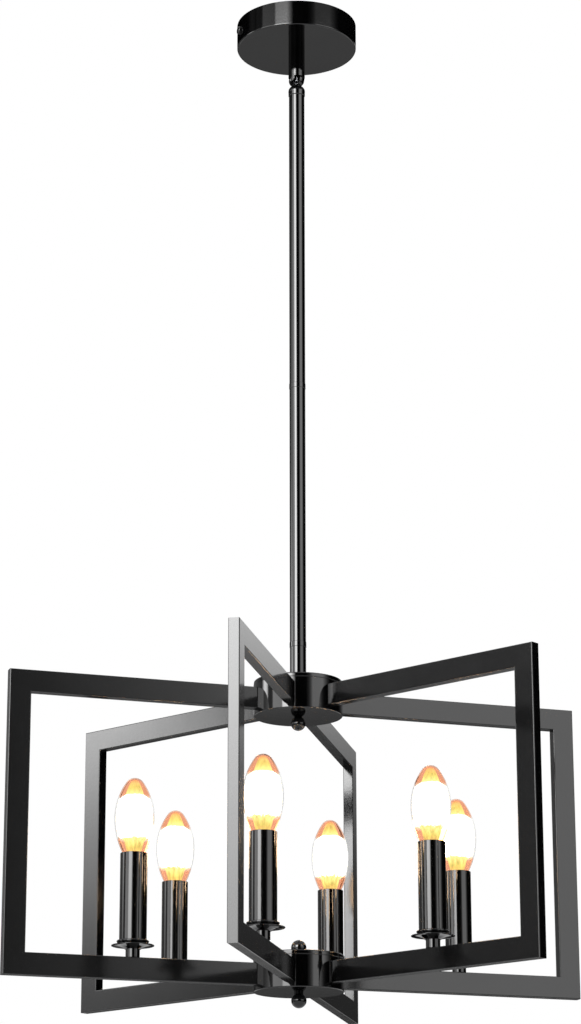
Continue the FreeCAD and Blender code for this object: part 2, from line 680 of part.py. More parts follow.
def candle_stem():
    """The turned boss on the lower bar, with a threaded end for the drip pan, nut and lamp holder."""
    stud_top = BOBECHE_BOTTOM + STUD_TOP
    stem = rod(STEM_RADIUS, LOWER_BAR_TOP, BOBECHE_BOTTOM)
    stem = stem.fuse(rod(TUBE_THREAD_RADIUS, BOBECHE_BOTTOM, stud_top))
    return at_candle(stem.cut(rod(WIRE_RADIUS, LOWER_BAR_TOP, stud_top)))


def bobeche():
    """The drip pan: a turned lens with a conical cup on top that the sleeve stands in."""
    foot = BOBECHE_BOTTOM
    rim = foot + BOBECHE_RIM_RISE
    belly = ((BOBECHE_FOOT_RADIUS + BOBECHE_RADIUS) / 2.0, foot + BOBECHE_BELLY_RISE)
    lip = (BOBECHE_RADIUS + BOBECHE_EDGE / 4.0, rim + BOBECHE_EDGE / 2.0)
    well = SLEEVE_RADIUS + SEAT_GAP
    bore = TUBE_THREAD_RADIUS + PASS_GAP
    return at_candle(turned(
        (bore, foot),
        (BOBECHE_FOOT_RADIUS, foot),
        (belly, (BOBECHE_RADIUS, rim)),
        (lip, (BOBECHE_RADIUS, rim + BOBECHE_EDGE)),
        (CUP_FOOT_RADIUS, foot + CUP_FOOT_RISE),
        (well + CUP_WALL, foot + CUP_TOP_RISE),
        (well, foot + CUP_TOP_RISE),
        (well, SLEEVE_BOTTOM),
        (bore, SLEEVE_BOTTOM),
    ))


def candle_lock_nut():
    return at_candle(hex_nut(TAPPED_TUBE, SLEEVE_BOTTOM))


def candle_sleeve():
    """The tube that looks like a candle, with its top lip eased."""
    inner = SLEEVE_RADIUS - SLEEVE_WALL
    lip = SLEEVE_LIP_RADIUS
    return at_candle(turned(
        (inner, SLEEVE_BOTTOM),
        (SLEEVE_RADIUS, SLEEVE_BOTTOM),
        (SLEEVE_RADIUS, SLEEVE_TOP - lip),
        arc((SLEEVE_RADIUS - lip, SLEEVE_TOP - lip), lip, 0, 90),
        (inner, SLEEVE_TOP),
    ))


def lamp_socket():
    """The lamp holder inside the sleeve, screwed on the stem."""
    foot_top = SOCKET_BOTTOM + SOCKET_FOOT_HEIGHT
    bore = BASE_RADIUS + PASS_GAP
    flare = SOCKET_RADIUS - SOCKET_FOOT_RADIUS
    return at_candle(turned(
        (TAPPED_TUBE, SOCKET_BOTTOM),
        (SOCKET_FOOT_RADIUS, SOCKET_BOTTOM),
        (SOCKET_FOOT_RADIUS, foot_top),
        (SOCKET_RADIUS, foot_top + flare),
        (SOCKET_RADIUS, SOCKET_TOP - SOCKET_EDGE),
        (SOCKET_RADIUS - SOCKET_EDGE, SOCKET_TOP),
        (bore, SOCKET_TOP),
        (bore, SOCKET_SEAT),
        (WIRE_RADIUS, SOCKET_SEAT),
        (WIRE_RADIUS, SOCKET_BOTTOM + THREAD_GRIP),
        (TAPPED_TUBE, SOCKET_BOTTOM + THREAD_GRIP),
    ))


# --- Bulbs --------------------------------------------------------------------------------------------

def bulb_body(inset):
    """The candle bulb as a solid, moved in by a thickness: arcs for the flare above the neck, the belly, the
    shoulder and the tip, each tangent to the next."""
    flare = BULB_RADIUS - BULB_NECK_RADIUS
    belly_curve = (BULB_NECK_DROP ** 2 + flare ** 2) / (2.0 * flare) - BULB_NECK_CURVE
    neck_centre = (BULB_NECK_RADIUS + BULB_NECK_CURVE, BASE_TOP)
    belly_centre = (BULB_RADIUS - belly_curve, BULB_EQUATOR)
    lean = math.degrees(math.asin(BULB_NECK_DROP / (belly_curve + BULB_NECK_CURVE)))

    tip_rise = BULB_TIP_RISE - BULB_TIP_CURVE
    span = BULB_RADIUS ** 2 + BULB_TIP_RISE ** 2 - 2.0 * BULB_TIP_RISE * BULB_TIP_CURVE
    shoulder_curve = span / (2.0 * (BULB_RADIUS - BULB_TIP_CURVE))
    shoulder_centre = (BULB_RADIUS - shoulder_curve, BULB_EQUATOR)
    tip_centre = (0.0, BULB_EQUATOR + tip_rise)
    join = math.degrees(math.atan2(tip_rise, -shoulder_centre[0]))
    return turned(
        (BULB_NECK_RADIUS - inset, BASE_TOP),
        arc(neck_centre, BULB_NECK_CURVE + inset, 180, 180 - lean),
        arc(belly_centre, belly_curve - inset, -lean, 0),
        arc(shoulder_centre, shoulder_curve - inset, 0, join),
        arc(tip_centre, BULB_TIP_CURVE - inset, join, 90),
        (0.0, BASE_TOP),
    )


def bulb_glass():
    """The thin glass envelope, open at the neck where it stands on the base."""
    return at_candle(bulb_body(0.0).cut(bulb_body(GLASS_THICKNESS)))


def bulb_base():
    """The screw base: a flange under the glass, the shell, a tapered insulator and the centre contact."""
    shell_top = BASE_TOP - BASE_FLANGE
    shell_bottom = shell_top - BASE_SHELL_LENGTH
    return at_candle(turned(
        (0.0, BASE_BOTTOM),
        (BASE_TIP_RADIUS, BASE_BOTTOM),
        (BASE_RADIUS, shell_bottom),
        (BASE_RADIUS, shell_top),
        (BULB_NECK_RADIUS, shell_top),
        (BULB_NECK_RADIUS, BASE_TOP),
        (0.0, BASE_TOP),
    ))


def bulb_filament():
    """The glass mount and the upright light strips that stand on it between two small plates."""
    mount_top = BASE_TOP + MOUNT_HEIGHT
    plate = FILAMENT_CIRCLE + FILAMENT_RADIUS + FILAMENT_PLATE_MARGIN
    strips_top = mount_top + FILAMENT_PLATE + FILAMENT_LENGTH
    core = turned(
        (0.0, BASE_TOP),
        (MOUNT_FOOT_RADIUS, BASE_TOP),
        (MOUNT_TOP_RADIUS, mount_top),
        (plate, mount_top),
        (plate, mount_top + FILAMENT_PLATE),
        (0.0, mount_top + FILAMENT_PLATE),
    )
    core = core.fuse(rod(plate, strips_top, strips_top + FILAMENT_PLATE))
    for strip in range(FILAMENT_COUNT):
        angle = math.radians(360.0 * (strip + 0.5) / FILAMENT_COUNT)
        x = FILAMENT_CIRCLE * math.cos(angle)
        y = FILAMENT_CIRCLE * math.sin(angle)
        core = core.fuse(rod(FILAMENT_RADIUS, mount_top + FILAMENT_PLATE, strips_top, x, y))
    return at_candle(core)


# --- Assembly -----------------------------------------------------------------------------------------

def write_ceiling_mount():
    write("ceiling_crossbar", ceiling_crossbar())
    write("ground_screw", ground_screw())
    write("canopy_cover", canopy_cover())
    write("canopy_side_screws", *canopy_side_screws())
    write("canopy_nipple", canopy_nipple())
    write("canopy_lock_nut", canopy_lock_nut())


def write_swivel():
    write("swivel_upper_fork", swivel_upper_fork())
    write("swivel_upper_pins", *swivel_pins(X_AXIS))
    write("swivel_gimbal_ring", swivel_gimbal_ring())
    write("swivel_lower_pins", *swivel_pins(Y_AXIS))
    write("swivel_lower_fork", swivel_lower_fork())


def write_downrod():
    write("downrod_upper", downrod(UPPER_SEAM, ROD_TOP, True, False))
    write("downrod_lower", downrod(LOWER_SEAM, UPPER_SEAM, True, True))
    write("downrod_stub", downrod(TOP_HUB_TOP, LOWER_SEAM, False, True))
    write("rod_nipples", *rod_nipples())


def write_hubs():
    write("top_hub_lid", hub_lid(TOP_HUB_BOTTOM, TUBE_HOLE))
    write("top_hub_drum", hub_drum(TOP_HUB_BOTTOM, STUD_HOLE))
    write("top_hub_nipple", top_hub_nipple())
    write("top_hub_lock_nut", top_hub_lock_nut())
    write("top_hub_hickey", top_hub_hickey())
    write("top_hub_finial", top_hub_finial())
    write("bottom_hub_lid", hub_lid(BOTTOM_HUB_BOTTOM, STUD_HOLE))
    write("bottom_hub_drum", hub_drum(BOTTOM_HUB_BOTTOM, STUD_HOLE))
    write("bottom_hub_stud", bottom_hub_stud())
    write("bottom_hub_finials", *bottom_hub_finials())
    write("arm_screws", *arm_screws())


def write_candles():
    write("candle_stems", *on_all_arms(candle_stem()))
    write("bobeches", *on_all_arms(bobeche()))
    write("candle_lock_nuts", *on_all_arms(candle_lock_nut()))
    write("lamp_sockets", *on_all_arms(lamp_socket()))


def write_repeated():
    """Each frame, sleeve and bulb piece has its own node, named after the arm that it is on."""
    pieces = {
        "frame": c_frame(),
        "candle_sleeve": candle_sleeve(),
        "bulb_glass": bulb_glass(),
        "bulb_base": bulb_base(),
        "bulb_filament": bulb_filament(),
    }
    for piece, shape in pieces.items():
        for arm, place in enumerate(NAMED_ARMS):
            write(piece + "_" + place, at_arm(shape, arm))


os.makedirs("parts", exist_ok=True)
write_ceiling_mount()
write_swivel()
write_downrod()
write_hubs()
write_candles()
write_repeated()
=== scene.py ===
import math

import bmesh
import bpy
from mathutils import Matrix, Vector

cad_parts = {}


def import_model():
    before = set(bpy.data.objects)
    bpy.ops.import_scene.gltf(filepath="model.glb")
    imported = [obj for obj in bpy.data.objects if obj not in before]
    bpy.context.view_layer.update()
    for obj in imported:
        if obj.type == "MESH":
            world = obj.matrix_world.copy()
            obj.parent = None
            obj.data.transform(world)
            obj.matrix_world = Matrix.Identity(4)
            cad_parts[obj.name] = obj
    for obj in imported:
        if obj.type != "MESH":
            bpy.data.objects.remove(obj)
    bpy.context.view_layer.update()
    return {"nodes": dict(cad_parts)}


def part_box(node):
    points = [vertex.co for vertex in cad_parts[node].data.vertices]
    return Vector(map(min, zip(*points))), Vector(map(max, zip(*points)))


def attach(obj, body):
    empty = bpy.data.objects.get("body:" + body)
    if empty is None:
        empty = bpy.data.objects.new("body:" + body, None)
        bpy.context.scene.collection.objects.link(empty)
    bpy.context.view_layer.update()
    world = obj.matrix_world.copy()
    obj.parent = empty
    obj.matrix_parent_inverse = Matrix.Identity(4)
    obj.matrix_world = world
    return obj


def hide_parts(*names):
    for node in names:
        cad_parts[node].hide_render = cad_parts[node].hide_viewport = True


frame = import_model()
NODES = frame["nodes"]

# Lengths are in metres, heights are below the ceiling at zero, and angles are in degrees where a name
# or a comment says so and in radians elsewhere.
X, Z = 0, 2


def node_span(name, axis):
    """Where a node starts and ends along an axis, to a tenth of a millimetre."""
    low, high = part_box(name)
    return round(low[axis], 4), round(high[axis], 4)


# The six arms, with their degrees round the rod, and the distance of each candle from the rod
ARMS = {"right": 0, "back_right": 60, "back_left": 120, "left": 180, "front_left": 240, "front_right": 300}
CANDLE_RADIUS = round(sum(node_span("candle_sleeve_right", X)) / 2.0, 4)

# The bulb's envelope: its heights, its two radii, the curves at its neck and tip, and its wall
GLASS_LOW, GLASS_TOP = node_span("bulb_glass_right", Z)
EQUATOR = -0.8216
BULB_RADIUS = round(node_span("bulb_glass_right", X)[1] - CANDLE_RADIUS, 4)
NECK_RADIUS = 0.0072
NECK_CURVE = 0.0093
TIP_CURVE = 0.0095
GLASS_WALL = 0.0008

# The lit form inside it: white hot between two heights, and narrower a little below and above them
LIT_LOW = -0.8415
LIT_HIGH = -0.8025
GLOW_STRENGTH = 14.0
GLOW_INSET = 0.0017
GLOW_FOOT = GLASS_LOW + 0.004
WIDE_LOW = LIT_LOW - 0.001
WIDE_HIGH = LIT_HIGH + 0.002
WIDE_FADE = 0.004
NARROW_SHARE = 0.68

# The bulb's screw base. A section holds (radius, rise) points, here above the base's lowest point and
# above the collar's foot.
BASE_LOW = node_span("bulb_base_right", Z)[0]
CONTACT_SECTION = [(0.0, 0.0), (0.0025, 0.0), (0.0029, 0.0004), (0.0055, 0.0020)]
SHELL_LOW = BASE_LOW + 0.0022
SHELL_RADIUS = 0.0059
COLLAR_HEIGHT = 0.0033
COLLAR_LOW = GLASS_LOW - COLLAR_HEIGHT
COLLAR_SECTION = [
    (NECK_RADIUS, 0.0), (NECK_RADIUS, 0.0006), (0.0070, 0.0009), (0.0070, 0.0026), (NECK_RADIUS, 0.0029),
    (NECK_RADIUS, COLLAR_HEIGHT), (0.0, COLLAR_HEIGHT)]
THREAD_PITCH = 0.0021
THREAD_WAVE = 0.00032
THREAD_MARGIN = 0.0012
THREAD_ROWS = 72

# The drip pan: a lens-shaped disc whose cup has a beaded edge. Its sections rise from the foot and from
# the rim.
PAN_FOOT = node_span("bobeches", Z)[0]
PAN_RADIUS = 0.0192
PAN_RIM_RISE = 0.0029
PAN_UNDERSIDE = [
    (0.0, 0.0), (0.0075, 0.0), (0.0088, 0.0010), (0.0120, 0.0020), (0.0165, 0.0026),
    (PAN_RADIUS, PAN_RIM_RISE)]
PAN_RIM = PAN_FOOT + PAN_RIM_RISE
PAN_EDGE_HEIGHT = PAN_RIM + 0.0003
PAN_EDGE_CURVE = 0.0004
PAN_TOP = [(0.0165, 0.0010), (0.0140, 0.0018), (0.0133, 0.0026)]
CUP_RADIUS = 0.0126
CUP_FLOOR = PAN_FOOT + 0.0064
CUP_BEAD_HEIGHT = PAN_FOOT + 0.0069
CUP_BEAD_RADIUS = 0.01365
CUP_BEAD_CURVE = 0.00105

# The hubs, the beads at their seams, and the ball under the top one with the stud that holds it
HUB_RADIUS = node_span("top_hub_drum", X)[1]
TOP_HUB_BOTTOM, TOP_SEAM = node_span("top_hub_drum", Z)
BOTTOM_SEAM = node_span("bottom_hub_drum", Z)[1]
BEAD_CURVE = 0.00055
BEAD_SINK = 0.0003
BALL_RADIUS = 0.0070
BALL_LOW = -0.7288
STUD_RADIUS = 0.0030
STUD_FOOT = TOP_HUB_BOTTOM + 0.0001

# Turned pieces: steps along the arcs of an outline and round the axis, the radius under which a point
# is on the axis, and the angle from which an edge stays sharp
EDGE_ARC = 8
SHORT_ARC = 14
LONG_ARC = 20
BALL_ARC = 40
SEGMENTS = 96
FINE_SEGMENTS = 128
SMALL_SEGMENTS = 72
ON_AXIS = 1e-6
SHARP_DEGREES = 40.0

# The blurred gloss over the paint, and the thin glass
HAZE_IOR = 1.12
HAZE_ROUGHNESS = 0.42
GLASS_IOR = 1.12

# The photograph's camera, solved from the object's corners. The last turn lines the arms up.
CAMERA_PLACE = (-0.8764, -2.5919, -1.3393)
CAMERA_YAW, CAMERA_PITCH, CAMERA_ROLL = -0.0025, 0.2932, -0.0017
CAMERA_TURN_DEGREES = -18.68
FOCAL_PIXELS = 2964.92
PICTURE_HEIGHT = 1024.0
SENSOR_HEIGHT = 36.0
CLIP_END = 60.0

# The room. Card angles are in degrees from the camera's side, positive to its right.
FLOOR_Z = -1.9
FLOOR_RADIUS = 14.0
FLOOR_GREY = 0.86
FADE_START, FADE_END = 1.0, 3.2
FADE_LOW = 0.45
CARD_TOWARDS_CAMERA = CAMERA_TURN_DEGREES - 90.0
CARD_RADIUS = 3.3
OUTER_CARD_RADIUS = 3.4
FLAG_RADIUS = 3.6
CARD_FOOT = -1.89
CARD_TOP = 1.9
FLAG_TOP = 2.6
CARD_LEAST_STEPS = 4
CARD_HALF_STEP_DEGREES = 1.5
LIGHT_TARGET = Vector((0.0, 0.0, -0.7))


# --- Node helpers -------------------------------------------------------------------------------------

def new_material(name):
    """A material with an empty node tree."""
    material = bpy.data.materials.new(name)
    material.use_nodes = True
    material.node_tree.nodes.clear()
    return material, material.node_tree.nodes, material.node_tree.links


def show(nodes, links, shader):
    """Wire a shader to the material's output."""
    output = nodes.new("ShaderNodeOutputMaterial")
    links.new(shader.outputs[0], output.inputs["Surface"])


def ramp(nodes, links, source, stops):
    """A colour ramp with (position, colour) stops, fed by a factor socket."""
    node = nodes.new("ShaderNodeValToRGB")
    elements = node.color_ramp.elements
    elements[0].position = stops[0][0]
    elements[0].color = (*stops[0][1], 1.0)
    for position, colour in stops[1:-1]:
        element = elements.new(position)
        element.color = (*colour, 1.0)
    elements[-1].position = stops[-1][0]
    elements[-1].color = (*stops[-1][1], 1.0)
    links.new(source, node.inputs["Fac"])
    return node.outputs["Color"]


def noise(nodes, links, scale, detail, roughness, stretch=None):
    """Noise over the object's own coordinates, stretched along an axis if asked."""
    place = nodes.new("ShaderNodeTexCoord")
    mapping = nodes.new("ShaderNodeMapping")
    if stretch:
        mapping.inputs["Scale"].default_value = stretch
    links.new(place.outputs["Object"], mapping.inputs["Vector"])
    texture = nodes.new("ShaderNodeTexNoise")
    texture.inputs["Scale"].default_value = scale
    texture.inputs["Detail"].default_value = detail
    texture.inputs["Roughness"].default_value = roughness
    links.new(mapping.outputs["Vector"], texture.inputs["Vector"])
    return texture.outputs["Fac"]


def spread(nodes, links, source, low, high, start=0.3, stop=0.7):
    """A factor moved from start..stop to low..high and held there."""
    node = nodes.new("ShaderNodeMapRange")
    node.inputs["From Min"].default_value = start
    node.inputs["From Max"].default_value = stop
    node.inputs["To Min"].default_value = low
    node.inputs["To Max"].default_value = high
    links.new(source, node.inputs["Value"])
    return node.outputs["Result"]


def bumps(nodes, links, relief, strength, distance=0.0004):
    """A normal tilted by a relief."""
    node = nodes.new("ShaderNodeBump")
    node.inputs["Strength"].default_value = strength
    node.inputs["Distance"].default_value = distance
    links.new(relief, node.inputs["Height"])
    return node.outputs["Normal"]


def combine(nodes, links, operation, first, second):
    """Two factors put together by a maths operation."""
    node = nodes.new("ShaderNodeMath")
    node.operation = operation
    links.new(first, node.inputs[0])
    links.new(second, node.inputs[1])
    return node.outputs[0]


def own_axes(nodes, links):
    """The object's own coordinates, split into X, Y and Z sockets."""
    place = nodes.new("ShaderNodeTexCoord")
    split = nodes.new("ShaderNodeSeparateXYZ")
    links.new(place.outputs["Object"], split.inputs["Vector"])
    return split.outputs


# --- Finishes -----------------------------------------------------------------------------------------

def finish_surface(nodes, links, colours, roughness, bump, metallic=0.0, haze=0.0):
    """A principled surface with its colour, roughness and bump each driven by its own noise.
    colours is (dark, light, scale), roughness is (low, high, scale) and bump is (scale, strength,
    stretch). haze is a faint blurred gloss over the sharp one."""
    shader = nodes.new("ShaderNodeBsdfPrincipled")
    shader.inputs["Metallic"].default_value = metallic
    shader.inputs["Coat Weight"].default_value = haze
    shader.inputs["Coat IOR"].default_value = HAZE_IOR
    shader.inputs["Coat Roughness"].default_value = HAZE_ROUGHNESS
    dark, light, scale = colours
    mottling = noise(nodes, links, scale, 4.0, 0.6)
    tint = ramp(nodes, links, mottling, [(0.3, dark), (0.7, light)])
    links.new(tint, shader.inputs["Base Color"])
    low, high, scale = roughness
    smear = noise(nodes, links, scale, 5.0, 0.65)
    links.new(spread(nodes, links, smear, low, high), shader.inputs["Roughness"])
    scale, strength, stretch = bump
    relief = noise(nodes, links, scale, 2.0, 0.5, stretch)
    links.new(bumps(nodes, links, relief, strength), shader.inputs["Normal"])
    show(nodes, links, shader)
    return shader


def surface(name, **finish):
    """A material with one of the finishes below."""
    material, nodes, links = new_material(name)
    finish_surface(nodes, links, **finish)
    return material


def at_height(z):
    """A height on the bulb as a position from 0 at its neck to 1 at its tip."""
    return (z - GLASS_LOW) / (GLASS_TOP - GLASS_LOW)


def bulb_height(nodes, links):
    """The same position as a socket."""
    return spread(nodes, links, own_axes(nodes, links)["Z"], 0.0, 1.0, GLASS_LOW, GLASS_TOP)


def bulb_ramp(nodes, links, source, stops):
    """A colour ramp with (height, colour) stops on the bulb."""
    return ramp(nodes, links, source, [(at_height(z), colour) for z, colour in stops])


def glass_material():
    """Thin clear glass with the glow of the light inside painted into it as an amber tint at the neck and
    at the tip.
    """
    material, nodes, links = new_material("bulb_glass_lit")
    shader = nodes.new("ShaderNodeBsdfPrincipled")
    shader.inputs["Transmission Weight"].default_value = 1.0
    shader.inputs["IOR"].default_value = GLASS_IOR
    # Painted glow: the amber tint stands in for the bulb's light seen through its clear glass.
    amber = (0.93, 0.60, 0.45)
    clear = (1.0, 1.0, 0.97)
    edge = 0.001
    tint = bulb_ramp(nodes, links, bulb_height(nodes, links), [
        (GLASS_LOW, amber), (LIT_LOW - edge, amber), (LIT_LOW + edge, clear),
        (LIT_HIGH - edge, clear), (LIT_HIGH + edge, amber), (GLASS_TOP, amber)])
    links.new(tint, shader.inputs["Base Color"])
    ripple = noise(nodes, links, 150.0, 2.0, 0.5, (1.0, 1.0, 0.25))
    links.new(spread(nodes, links, ripple, 0.0, 0.03), shader.inputs["Roughness"])
    links.new(bumps(nodes, links, ripple, 0.12, 0.0005), shader.inputs["Normal"])
    show(nodes, links, shader)
    return material


def glow_material():
    """The lit inside of a bulb: white hot in the middle, streaked yellow towards both ends, and orange
    at the neck and at the tip."""
    material, nodes, links = new_material("bulb_glow")
    shader = nodes.new("ShaderNodeBsdfPrincipled")
    shader.inputs["Base Color"].default_value = (0.3, 0.2, 0.1, 1.0)
    shader.inputs["Emission Strength"].default_value = GLOW_STRENGTH
    streaks = noise(nodes, links, 420.0, 3.0, 0.6, (1.0, 1.0, 0.1))
    jitter = spread(nodes, links, streaks, -0.02, 0.02)
    ragged = combine(nodes, links, "ADD", bulb_height(nodes, links), jitter)
    hot = (1.0, 0.66, 0.4)
    pale = (0.08, 0.125, 0.06)
    yellow = (0.064, 0.090, 0.029)
    amber = (0.075, 0.078, 0.031)
    orange = (0.077, 0.043, 0.024)
    light = bulb_ramp(nodes, links, ragged, [
        (GLASS_LOW, orange), (LIT_LOW - 0.0115, amber), (LIT_LOW - 0.008, yellow), (LIT_LOW, pale),
        (LIT_LOW + 0.003, hot), (LIT_HIGH - 0.001, hot), (LIT_HIGH + 0.002, pale),
        (LIT_HIGH + 0.008, yellow), (LIT_HIGH + 0.0125, amber), (GLASS_TOP - 0.002, orange),
        (GLASS_TOP, orange)])
    flicker = nodes.new("ShaderNodeVectorMath")
    flicker.operation = "SCALE"
    links.new(light, flicker.inputs[0])
    links.new(spread(nodes, links, streaks, 0.62, 1.2), flicker.inputs["Scale"])
    links.new(flicker.outputs["Vector"], shader.inputs["Emission Color"])
    links.new(spread(nodes, links, streaks, 0.4, 0.7), shader.inputs["Roughness"])
    links.new(bumps(nodes, links, streaks, 0.4), shader.inputs["Normal"])
    show(nodes, links, shader)
    return material


def strip_material():
    """The warm strips on the glass mount inside a bulb."""
    material, nodes, links = new_material("light_strip")
    shader = finish_surface(
        nodes, links,
        colours=((0.9, 0.66, 0.3), (1.0, 0.8, 0.42), 300.0),
        roughness=(0.4, 0.6, 200.0),
        bump=(2000.0, 0.1, None))
    shader.inputs["Emission Color"].default_value = (1.0, 0.66, 0.3, 1.0)
    shader.inputs["Emission Strength"].default_value = 8.0
    return material


GLOSS = surface(
    "gloss_black_paint",
    colours=((0.0008, 0.0008, 0.0009), (0.0018, 0.0018, 0.0019), 35.0),
    roughness=(0.04, 0.075, 28.0),
    bump=(420.0, 0.03, None))
FRAME_GLOSS = surface(
    "frame_black_paint",
    colours=((0.0008, 0.0008, 0.0009), (0.002, 0.002, 0.0021), 30.0),
    roughness=(0.09, 0.14, 22.0),
    bump=(380.0, 0.03, None),
    haze=0.15)
SLEEVE = surface(
    "sleeve_black",
    colours=((0.0008, 0.0008, 0.0008), (0.0018, 0.0017, 0.0016), 60.0),
    roughness=(0.04, 0.075, 70.0),
    bump=(600.0, 0.03, (1.0, 1.0, 0.2)),
    haze=0.15)
SOCKET = surface(
    "socket_black",
    colours=((0.012, 0.012, 0.012), (0.024, 0.023, 0.022), 90.0),
    roughness=(0.38, 0.55, 120.0),
    bump=(1500.0, 0.12, None))
ZINC = surface(
    "zinc_plate",
    colours=((0.42, 0.43, 0.45), (0.62, 0.63, 0.66), 140.0),
    roughness=(0.24, 0.42, 90.0),
    bump=(900.0, 0.12, (1.0, 1.0, 0.3)),
    metallic=1.0)
DARK_STEEL = surface(
    "dark_steel",
    colours=((0.05, 0.05, 0.052), (0.1, 0.1, 0.105), 200.0),
    roughness=(0.2, 0.32, 160.0),
    bump=(1200.0, 0.1, None),
    metallic=1.0)
BRASS = surface(
    "plain_brass",
    colours=((0.56, 0.39, 0.16), (0.72, 0.53, 0.25), 120.0),
    roughness=(0.22, 0.38, 90.0),
    bump=(900.0, 0.1, None),
    metallic=1.0)
GROUND = surface(
    "ground_green",
    colours=((0.012, 0.11, 0.035), (0.02, 0.17, 0.05), 150.0),
    roughness=(0.25, 0.4, 120.0),
    bump=(900.0, 0.1, None))
PLATED = surface(
    "plated_shell",
    colours=((0.5, 0.48, 0.44), (0.68, 0.66, 0.6), 160.0),
    roughness=(0.16, 0.3, 110.0),
    bump=(900.0, 0.1, None),
    metallic=1.0)
GLASS = glass_material()
GLOW = glow_material()
STRIP = strip_material()

FINISH_BY_START = {
    "frame_": FRAME_GLOSS,
    "candle_sleeve_": SLEEVE,
    "bulb_filament_": STRIP,
    "bulb_glass_": GLASS,
    "bulb_base_": PLATED,
}
FINISH_BY_NAME = {
    "lamp_sockets": SOCKET,
    "candle_lock_nuts": BRASS,
    "ground_screw": GROUND,
    "swivel_upper_pins": DARK_STEEL,
    "swivel_lower_pins": DARK_STEEL,
}
ZINC_NODES = (
    "ceiling_crossbar", "canopy_nipple", "canopy_lock_nut", "rod_nipples", "top_hub_nipple",
    "top_hub_lock_nut", "top_hub_hickey", "bottom_hub_stud", "arm_screws", "swivel_gimbal_ring")


def node_finish(name):
    """A node's finish: gloss black unless its name says otherwise."""
    for start, finish in FINISH_BY_START.items():
        if name.startswith(start):
            return finish
    if name in ZINC_NODES:
        return ZINC
    return FINISH_BY_NAME.get(name, GLOSS)


# --- Turned pieces ------------------------------------------------------------------------------------

def arc(centre, radius, start, end, count):
    """Points along an arc between two angles, without the first."""
    x, y = centre
    angles = (start + (end - start) * step / count for step in range(1, count + 1))
    return [(x + radius * math.cos(angle), y + radius * math.sin(angle)) for angle in angles]


def ring_points(radius, height, centre, segments, crest):
    """Points round an upright axis at one height, or the one point on the axis itself."""
    x, y = centre
    if radius < ON_AXIS:
        return [(x, y, height)]
    points = []
    for step in range(segments):
        angle = 2.0 * math.pi * step / segments
        reach = radius + (crest(angle, height) if crest else 0.0)
        points.append((x + reach * math.cos(angle), y + reach * math.sin(angle), height))
    return points


def bridge(shape, lower, upper, segments):
    """Faces between two rings, either of which may be a single vertex."""
    for step in range(segments):
        after = (step + 1) % segments
        below = [lower[step % len(lower)], lower[after % len(lower)]]
        above = [upper[after % len(upper)], upper[step % len(upper)]]
        corners = list(dict.fromkeys(below + above))
        if len(corners) > 2:
            shape.faces.new(corners)


def new_object(name, shape, material):
    """An object made of a finished bmesh, in the scene."""
    mesh = bpy.data.meshes.new(name)
    shape.to_mesh(mesh)
    shape.free()
    mesh.materials.append(material)
    piece = bpy.data.objects.new(name, mesh)
    bpy.context.scene.collection.objects.link(piece)
    return piece


def lathe(name, outline, centre, material, body, segments=SEGMENTS, crest=None):
    """A turned piece: the outline's (radius, height) points swept round an upright axis. crest(angle,
    height) adds to the radius where it is given."""
    shape = bmesh.new()
    rings = []
    for radius, height in outline:
        points = ring_points(radius, height, centre, segments, crest)
        rings.append([shape.verts.new(point) for point in points])
    for lower, upper in zip(rings, rings[1:]):
        bridge(shape, lower, upper, segments)
    bmesh.ops.recalc_face_normals(shape, faces=shape.faces)
    piece = new_object(name, shape, material)
    piece.data.shade_smooth()
    piece.data.set_sharp_from_angle(angle=math.radians(SHARP_DEGREES))
    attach(piece, body)
    return piece


def raised(section, height):
    """A section's points with their rises counted from a height."""
    return [(radius, height + rise) for radius, rise in section]


def candle_centre(arm):
    """Where an arm's candle stands, seen from above."""
    angle = math.radians(ARMS[arm])
    return CANDLE_RADIUS * math.cos(angle), CANDLE_RADIUS * math.sin(angle)


# --- Bulbs --------------------------------------------------------------------------------------------

def bulb_outline(inset):
    """The bulb's half outline from the neck to the tip, moved in by a distance. Four arcs meet in it
    without a corner: a hollow one at the neck, two at the belly and a small one at the tip."""
    rise = EQUATOR - GLASS_LOW
    flare = BULB_RADIUS - NECK_RADIUS
    belly = (rise ** 2 + flare ** 2) / (2.0 * flare) - NECK_CURVE
    lean = math.asin(rise / (belly + NECK_CURVE))
    height = GLASS_TOP - EQUATOR
    reach = BULB_RADIUS - TIP_CURVE
    shoulder = (BULB_RADIUS ** 2 + height ** 2 - 2.0 * height * TIP_CURVE) / (2.0 * reach)
    join = math.atan2(height - TIP_CURVE, shoulder - BULB_RADIUS)
    outline = [(NECK_RADIUS - inset, GLASS_LOW)]
    outline += arc(
        (NECK_RADIUS + NECK_CURVE, GLASS_LOW), NECK_CURVE + inset, math.pi, math.pi - lean, SHORT_ARC)
    outline += arc((BULB_RADIUS - belly, EQUATOR), belly - inset, -lean, 0.0, LONG_ARC)
    outline += arc((BULB_RADIUS - shoulder, EQUATOR), shoulder - inset, 0.0, join, LONG_ARC)
    outline += arc((0.0, GLASS_TOP - TIP_CURVE), TIP_CURVE - inset, join, math.pi / 2.0, SHORT_ARC)
    outline[-1] = (0.0, GLASS_TOP - inset)
    return outline


def bulb_glass(arm):
    """The envelope, with both faces of its wall."""
    piece = lathe("glass_" + arm, bulb_outline(0.0), candle_centre(arm), GLASS, "bulb_" + arm)
    shell = piece.modifiers.new("wall", "SOLIDIFY")
    shell.thickness = GLASS_WALL
    shell.offset = -1.0
    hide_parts("bulb_glass_" + arm)


def glow_width(height):
    """The lit form's share of the envelope's width: full in the middle, narrow in the neck and tip."""
    above_low = (height - WIDE_LOW) / WIDE_FADE
    below_high = (WIDE_HIGH - height) / WIDE_FADE
    full = max(0.0, min(1.0, above_low, below_high))
    return NARROW_SHARE + (1.0 - NARROW_SHARE) * full


